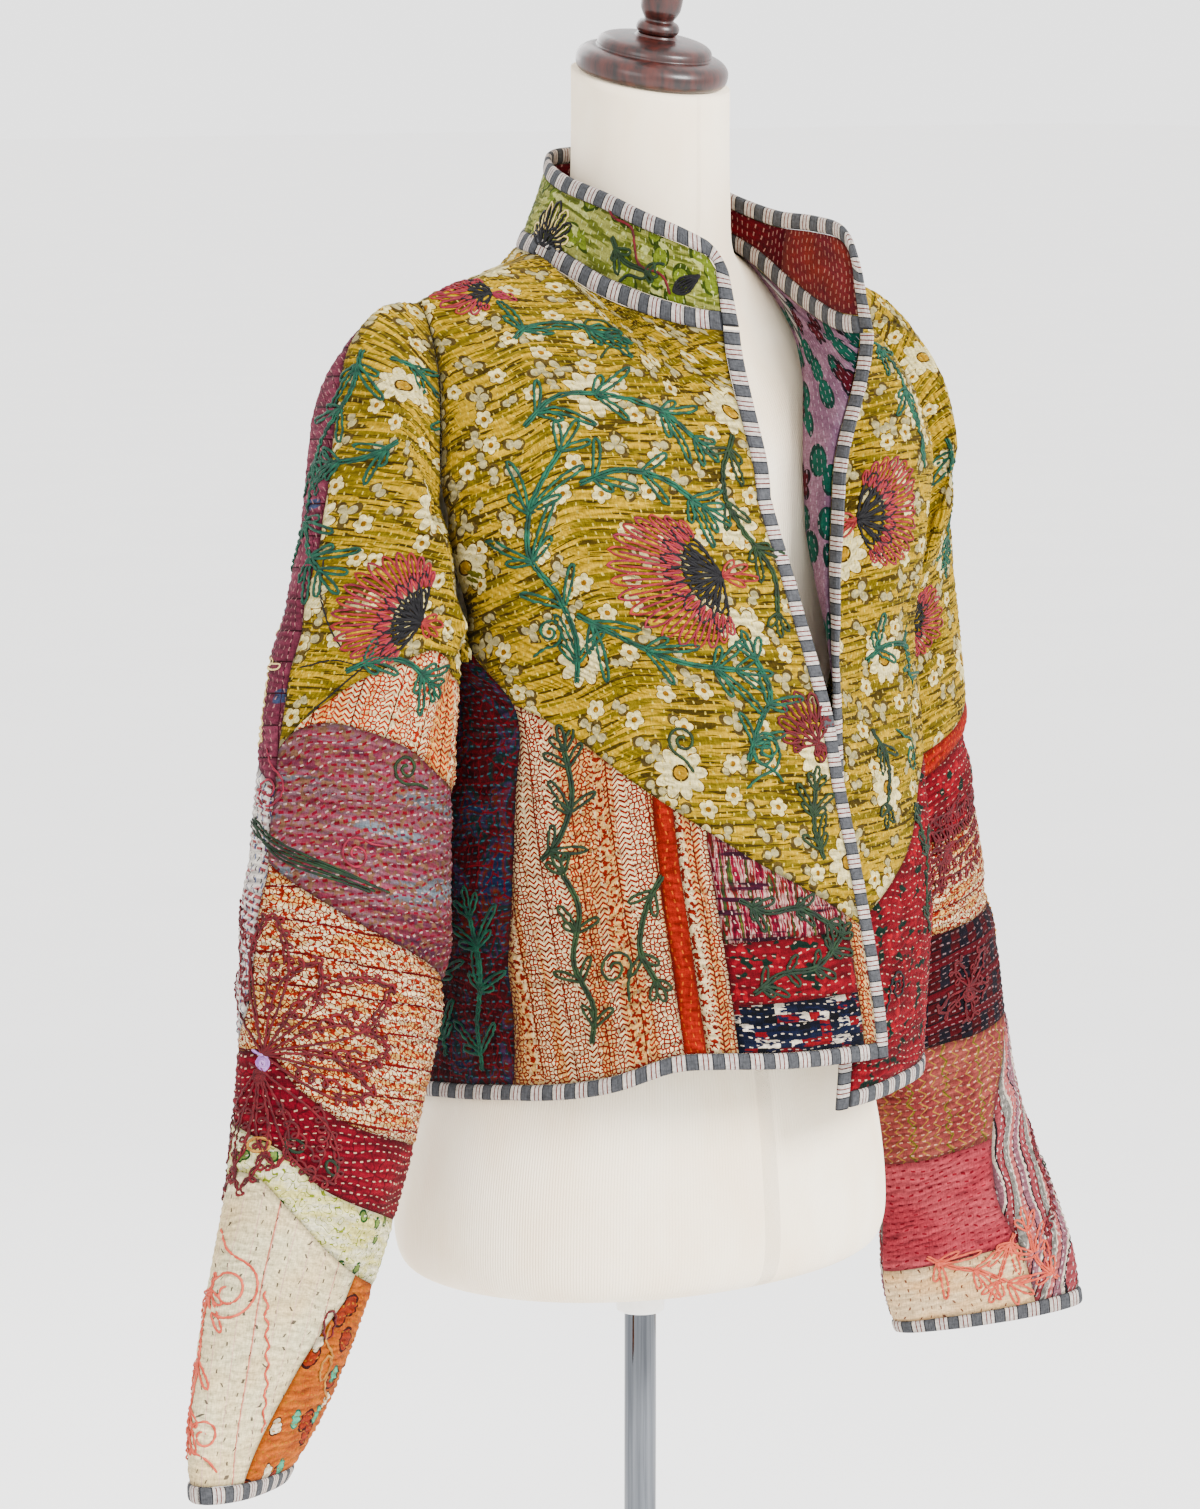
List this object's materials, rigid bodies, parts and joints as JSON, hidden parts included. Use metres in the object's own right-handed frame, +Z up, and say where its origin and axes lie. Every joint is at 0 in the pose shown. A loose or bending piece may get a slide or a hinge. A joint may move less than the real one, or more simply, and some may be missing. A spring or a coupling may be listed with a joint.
{
  "type": "cropped patchwork jacket on a dress form",
  "caption": "Cropped quilted patchwork jacket with a stand collar, striped bindings and long sleeves, worn open on a limbless dress form with a turned wood cap and a pole stand.",
  "frame": {"origin": "centre of the underside of the round base", "axes": "+Z up along the pole, the wearer faces -Y, the wearer's left is at +X"},
  "size_m": [0.7255, 0.3634, 1.6096],
  "materials": {
    "mustard_kantha": "matte quilted cotton",
    "cream_brocade": "matte quilted cotton",
    "orange_cloth": "matte quilted cotton",
    "plaid_cloth": "matte quilted cotton",
    "red_kantha": "matte quilted cotton",
    "navy_cloth": "matte quilted cotton",
    "lilac_print": "matte quilted cotton",
    "striped_binding": "matte woven",
    "dark_kantha": "matte quilted cotton",
    "mauve_kantha": "matte quilted cotton",
    "pale_print": "matte quilted cotton",
    "cream_cloth": "matte quilted cotton",
    "ochre_print": "matte quilted cotton",
    "plum_kantha": "matte quilted cotton",
    "coral_kantha": "matte quilted cotton",
    "pink_kantha": "matte quilted cotton",
    "lime_print": "matte quilted cotton",
    "maroon_lining": "matte quilted cotton",
    "rose_lining": "matte quilted cotton",
    "form_jersey": "matte knit",
    "dark_wood": "gloss",
    "base_white": "satin",
    "pole_chrome": "polished",
    "socket_white": "satin"
  },
  "bodies": {
    "root": {"front_right_mustard": "mustard_kantha", "front_right_brocade": "cream_brocade", "front_right_stripe": "orange_cloth", "front_right_inset": "cream_brocade", "front_right_plaid": "plaid_cloth", "front_right_red": "red_kantha", "front_right_check": "navy_cloth", "front_right_edge_strip": "cream_brocade", "front_left_mustard": "mustard_kantha", "front_left_kantha": "red_kantha", "facing_left": "lilac_print", "binding_facing": "striped_binding", "side_right": "dark_kantha", "side_left": "dark_kantha", "back_mustard": "mustard_kantha", "back_brocade": "cream_brocade", "sleeve_right_mustard": "mustard_kantha", "sleeve_right_wedge": "cream_brocade", "sleeve_right_mauve": "mauve_kantha", "sleeve_right_looped": "cream_brocade", "sleeve_right_crimson": "red_kantha", "sleeve_right_print": "pale_print", "sleeve_right_cream": "cream_cloth", "sleeve_right_ochre": "ochre_print", "sleeve_right_plum": "plum_kantha", "sleeve_right_dashed": "cream_cloth", "sleeve_right_rear": "plum_kantha", "sleeve_left_mustard": "mustard_kantha", "sleeve_left_orange": "orange_cloth", "sleeve_left_dark_red": "red_kantha", "sleeve_left_looped": "cream_brocade", "sleeve_left_check": "dark_kantha", "sleeve_left_coral": "coral_kantha", "sleeve_left_pink": "pink_kantha", "sleeve_left_cream": "cream_cloth", "sleeve_left_rear_head": "mustard_kantha", "sleeve_left_navy": "navy_cloth", "sleeve_left_striped": "lilac_print", "collar_outer": "lime_print", "collar_lining_back": "maroon_lining", "collar_lining_left": "rose_lining", "binding_front_right": "striped_binding", "binding_front_left": "striped_binding", "binding_hem": "striped_binding", "binding_cuff_right": "striped_binding", "binding_cuff_left": "striped_binding", "binding_collar": "striped_binding", "binding_collar_seam": "striped_binding", "form_torso": "form_jersey", "neck_cap": "dark_wood", "finial": "dark_wood", "stand_base": "base_white", "stand_pole": "pole_chrome", "stand_socket": "socket_white"}
  },
  "joints": []
}
